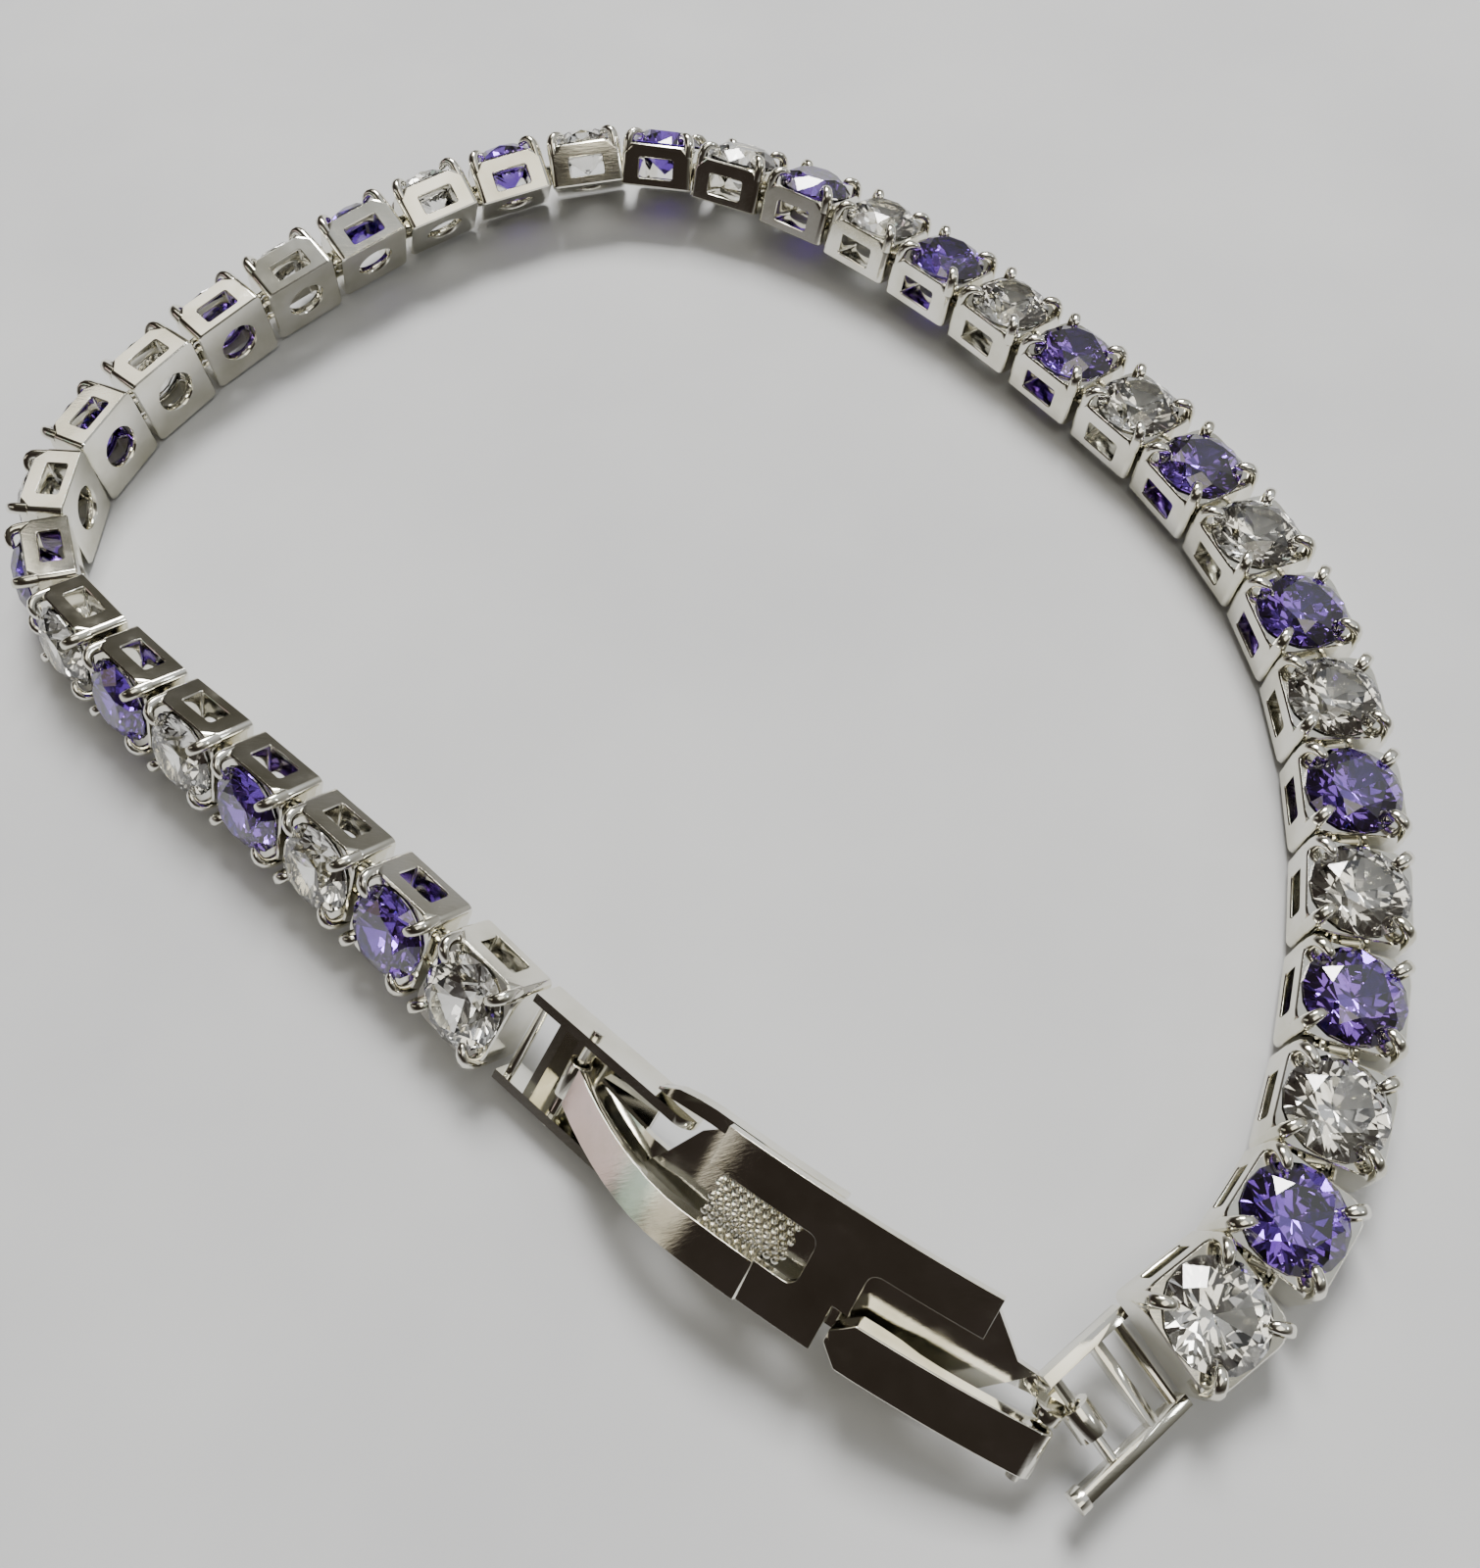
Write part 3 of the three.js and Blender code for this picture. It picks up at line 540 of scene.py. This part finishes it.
def build_settings(matrices):
    """Two runs of settings, each with a hinge after it but the last."""
    linked = setting_mesh(True)
    last = setting_mesh(False)
    copies = [(linked, matrix) for matrix in matrices[:-1]] + [(last, matrices[-1])]
    for node, run in [("settings_right", copies[:RIGHT_RUN]), ("settings_left", copies[RIGHT_RUN:])]:
        mesh = joined_copies(node + "_fine", run)
        replace_node(node, "_fine", mesh, "bracelet", "silver", SETTING_SMOOTH_ANGLE)


# Stones

FACETS = 8
GIRDLE_SIDES = 2 * FACETS
GIRDLE_HEIGHT = 0.05
TABLE_RADIUS = 0.56 * STONE_RADIUS
STAR_REACH = 0.745 * STONE_RADIUS
PAVILION_REACH = 0.24 * STONE_RADIUS


def brilliant_rings():
    """The rings of corners of a round brilliant, from the table down, heights from the girdle's top."""
    slope = CROWN_HEIGHT / (STONE_RADIUS - TABLE_RADIUS)
    star_height = slope * (STONE_RADIUS - STAR_REACH)
    depth = PAVILION_DEPTH - GIRDLE_HEIGHT
    pavilion_height = -GIRDLE_HEIGHT - depth * (1 - PAVILION_REACH / STONE_RADIUS)
    between = math.cos(math.tau / GIRDLE_SIDES)
    star_radius = STAR_REACH / between
    pavilion_radius = PAVILION_REACH / between
    return [
        {"name": "table", "sides": FACETS, "turn": 0, "radius": TABLE_RADIUS, "height": CROWN_HEIGHT},
        {"name": "star", "sides": FACETS, "turn": 0.5, "radius": star_radius, "height": star_height},
        {"name": "upper", "sides": GIRDLE_SIDES, "turn": 0, "radius": STONE_RADIUS, "height": 0.0},
        {"name": "lower", "sides": GIRDLE_SIDES, "turn": 0, "radius": STONE_RADIUS,
         "height": -GIRDLE_HEIGHT},
        {"name": "pavilion", "sides": FACETS, "turn": 0.5, "radius": pavilion_radius,
         "height": pavilion_height},
    ]


def brilliant_points():
    """The corners of a brilliant, and the number of the first corner of each ring."""
    points = []
    first = {}
    for row in brilliant_rings():
        first[row["name"]] = len(points)
        ring = circle(row["radius"], row["sides"], row["turn"])
        points += [(x, y, row["height"] + GIRDLE_RISE) for x, y in ring]
    first["culet"] = len(points)
    points.append((0, 0, GIRDLE_RISE - PAVILION_DEPTH))
    return points, first


def brilliant_faces(table, star, upper, lower, pavilion, culet):
    """Table, stars, kites, upper halves, lower halves, mains and the thin girdle."""
    faces = [tuple(table + k for k in range(FACETS))]
    for k in range(FACETS):
        before = (k - 1) % FACETS
        after = (k + 1) % FACETS
        main = 2 * k
        middle = 2 * k + 1
        beyond = (2 * k + 2) % GIRDLE_SIDES
        faces.append((table + k, star + k, table + after))
        faces.append((table + k, star + before, upper + main, star + k))
        faces.append((star + k, upper + main, upper + middle))
        faces.append((star + k, upper + middle, upper + beyond))
        faces.append((pavilion + k, lower + middle, lower + main))
        faces.append((pavilion + k, lower + beyond, lower + middle))
        faces.append((culet, pavilion + k, lower + main, pavilion + before))
    for k in range(GIRDLE_SIDES):
        after = (k + 1) % GIRDLE_SIDES
        faces.append((upper + k, lower + k, lower + after, upper + after))
    return faces


def brilliant_mesh():
    points, first = brilliant_points()
    mesh = mesh_from("brilliant", points, brilliant_faces(**first))
    shape = bmesh.new()
    shape.from_mesh(mesh)
    outward(shape)
    return mesh_of(shape, "brilliant")


def build_stones(names, matrices):
    brilliant = brilliant_mesh()
    for name, matrix in zip(names, matrices):
        mesh = brilliant.copy()
        mesh.transform(matrix)
        slot = "clear_stone" if name.endswith("clear") else "violet_stone"
        replace_node(name, "_cut", mesh, "bracelet", slot)


# Clasp

CLASP_PIECES = [
    {"node": "channel_left", "body": "bracelet", "edge": 0.07},
    {"node": "clasp_base", "body": "bracelet", "edge": 0.07},
    {"node": "clasp_cover", "body": "cover", "edge": 0.13},
    {"node": "latch_tongue", "body": "latch", "edge": 0.13},
    {"node": "rods_right", "body": "bracelet", "edge": 0.17},
]
# A piece with edges at least this wide is round, so its faces aren't shaded flat.
ROUND_EDGE = 0.15
SHORT_EDGE = 0.09
FLAT_ANGLE = 1

CLASP_ORIGIN = Vector((-4.8495, -18.9742, 2.1540))
CLASP_ALONG = Vector((0.75923, -0.65074, -0.01072))
CLASP_ACROSS = Vector((0.58354, 0.67335, 0.45396))
CLASP_RADIUS = 30.0
CLASP_SPAN = 21.3

GRIP_START = 7.0
GRIP_ROWS = 10
GRIP_COLUMNS = 6
GRIP_STEP = 0.34
GRIP_COLUMN_SHARE = 0.85
GRIP_SIDE = -1.0
GRIP_DROP = 0.83
GRIP_RADIUS = 0.17
GRIP_SQUASH = 0.8


def clasp_matrix():
    away = CLASP_ALONG.cross(CLASP_ACROSS).normalized()
    return basis_matrix(CLASP_ALONG, CLASP_ACROSS, away, CLASP_ORIGIN * MM)


def clasp_rise(x):
    """How far the clasp's arc stands over its chord."""
    half = CLASP_SPAN / 2
    return math.sqrt(CLASP_RADIUS ** 2 - (x - half) ** 2) - math.sqrt(CLASP_RADIUS ** 2 - half ** 2)


def add_grip(shape):
    """Small studs on the inner plate, under the left slot, every second column half a step on."""
    matrix = clasp_matrix()
    squash = Matrix.Diagonal((1.0, 1.0, GRIP_SQUASH, 1.0))
    for row in range(GRIP_ROWS):
        for column in range(GRIP_COLUMNS):
            x = GRIP_START + GRIP_STEP * (row + 0.5 * (column % 2))
            y = GRIP_SIDE + GRIP_STEP * column * GRIP_COLUMN_SHARE
            place = Matrix.Translation(Vector((x, y, clasp_rise(x) - GRIP_DROP)))
            bmesh.ops.create_icosphere(
                shape, subdivisions=2, radius=GRIP_RADIUS, matrix=matrix @ place @ squash,
            )


def with_studs(mesh):
    shape = bmesh.new()
    shape.from_mesh(mesh)
    add_grip(shape)
    shape.to_mesh(mesh)
    shape.free()


def refined_mesh(node, edge):
    """The CAD piece, shortest edges merged, flat faces made whole and sharp edges rounded."""
    shape = bmesh.new()
    shape.from_mesh(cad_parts[node].data)
    bmesh.ops.remove_doubles(shape, verts=shape.verts, dist=SHORT_EDGE * MM)
    flat = math.radians(FLAT_ANGLE)
    bmesh.ops.dissolve_limit(shape, angle_limit=flat, verts=shape.verts, edges=shape.edges)
    outward(shape)
    return cut_and_rounded(mesh_of(shape, node), [], edge * MM, edge < ROUND_EDGE)


def build_clasp():
    for row in CLASP_PIECES:
        mesh = refined_mesh(row["node"], row["edge"])
        if row["node"] == "clasp_base":
            with_studs(mesh)
        replace_node(row["node"], "_fine", mesh, row["body"], "silver")


# Surface, light and camera

# In metres.
SURFACE_HALF = 1.5
LIGHT_REACH = 1.2

CAMERA_PLACE = (2.951, -34.974, 52.394)
CAMERA_DOWN = 61.21
CAMERA_ROLL = -7.90
CAMERA_LENS = 33.2
CAMERA_SENSOR = 36.0
CAMERA_NEAR = 2.0

LIGHTS = [
    {"name": "key", "way": (0.15, 0.60, 0.78), "spread": (0.38, 0.38), "glow": 37.0,
     "colour": (1.0, 0.98, 0.95)},
    {"name": "overhead", "way": (0.16, -0.28, 0.94), "spread": (0.65, 0.55), "glow": 1.7,
     "colour": (1.0, 0.94, 0.80)},
    {"name": "back_left", "way": (-0.26, 0.54, 0.80), "spread": (0.35, 0.35), "glow": 1.6,
     "colour": (1.0, 0.95, 0.84)},
    {"name": "pink_strip", "way": (-0.92, 0.07, 0.38), "spread": (0.20, 0.15), "glow": 0.8,
     "colour": (1.0, 0.78, 0.78)},
    {"name": "green_strip", "way": (-0.87, -0.05, 0.48), "spread": (0.20, 0.15), "glow": 0.7,
     "colour": (0.80, 1.0, 0.88)},
    {"name": "beige_strip", "way": (-0.79, -0.18, 0.58), "spread": (0.20, 0.20), "glow": 0.9,
     "colour": (1.0, 0.92, 0.76)},
    {"name": "spark", "way": (0.80, -0.20, 0.60), "spread": (0.10, 0.10), "glow": 24.0,
     "colour": (0.93, 0.97, 1.0)},
]
ROOM_SLOPE = (0.55, 0.25, 0.80)
ROOM_COLOURS = [
    (0.25, (0.034, 0.027, 0.023)),
    (0.60, (0.100, 0.095, 0.080)),
    (0.85, (0.44, 0.44, 0.42)),
    (1.00, (0.70, 0.72, 0.75)),
]
HORIZON_COLOURS = [
    (0.00, (0.45, 0.45, 0.455)),
    (0.12, (0.22, 0.22, 0.22)),
    (0.34, (0.0, 0.0, 0.0)),
]


def build_surface():
    half = SURFACE_HALF
    corners = [(-half, -half, 0), (half, -half, 0), (half, half, 0), (-half, half, 0)]
    mesh = mesh_from("surface", corners, [(0, 1, 2, 3)])
    surface = placed("surface", mesh)
    mesh.materials.append(surface_material())


def build_light():
    for row in LIGHTS:
        area_light(row)
    build_world()


def area_light(row):
    """A soft box at LIGHT_REACH, its size and power worked out from its spread and glow."""
    data = bpy.data.lights.new(row["name"], "AREA")
    data.shape = "RECTANGLE"
    data.size, data.size_y = [spread * LIGHT_REACH for spread in row["spread"]]
    data.energy = row["glow"] * math.pi * data.size * data.size_y
    data.color = row["colour"]
    light = placed(row["name"], data)
    way = Vector(row["way"]).normalized()
    light.location = way * LIGHT_REACH
    light.rotation_euler = way.to_track_quat("Z", "Y").to_euler()


def build_world():
    """A dim studio: pale at the horizon, near black above it at the front left, grey overhead."""
    world = bpy.data.worlds.new("studio")
    world.use_nodes = True
    tree = world.node_tree
    place = add_node(tree, "ShaderNodeTexCoord")
    slope = add_node(tree, "ShaderNodeVectorMath", operation="DOT_PRODUCT")
    slope.inputs[1].default_value = ROOM_SLOPE
    tree.links.new(place.outputs["Generated"], slope.inputs[0])
    room = ramp_node(tree, slope.outputs["Value"], ROOM_COLOURS)
    split = add_node(tree, "ShaderNodeSeparateXYZ")
    tree.links.new(place.outputs["Generated"], split.inputs["Vector"])
    horizon = ramp_node(tree, split.outputs["Z"], HORIZON_COLOURS)
    both = add_node(tree, "ShaderNodeMixRGB", blend_type="ADD")
    both.inputs["Fac"].default_value = 1.0
    tree.links.new(room.outputs["Color"], both.inputs["Color1"])
    tree.links.new(horizon.outputs["Color"], both.inputs["Color2"])
    tree.links.new(both.outputs["Color"], tree.nodes["Background"].inputs["Color"])
    bpy.context.scene.world = world


def build_camera():
    """The camera at the photo's place, tipped down and rolled."""
    data = bpy.data.cameras.new("camera")
    data.lens = CAMERA_LENS
    data.sensor_width = CAMERA_SENSOR
    data.sensor_fit = "HORIZONTAL"
    data.clip_start = CAMERA_NEAR * MM
    camera = placed("camera", data)
    down = math.radians(CAMERA_DOWN)
    forward = Vector((0, math.cos(down), -math.sin(down)))
    right = Vector((1, 0, 0))
    up = right.cross(forward)
    roll = math.radians(CAMERA_ROLL)
    rolled_right = right * math.cos(roll) + up * math.sin(roll)
    rolled_up = up * math.cos(roll) - right * math.sin(roll)
    rows = [(rolled_right[k], rolled_up[k], -forward[k], CAMERA_PLACE[k] * MM) for k in range(3)]
    camera.matrix_world = Matrix((*rows, (0, 0, 0, 1)))
    bpy.context.scene.camera = camera


build_camera()
build_surface()
build_light()
stone_names, link_frames = link_matrices()
build_settings(link_frames)
build_stones(stone_names, link_frames)
build_clasp()
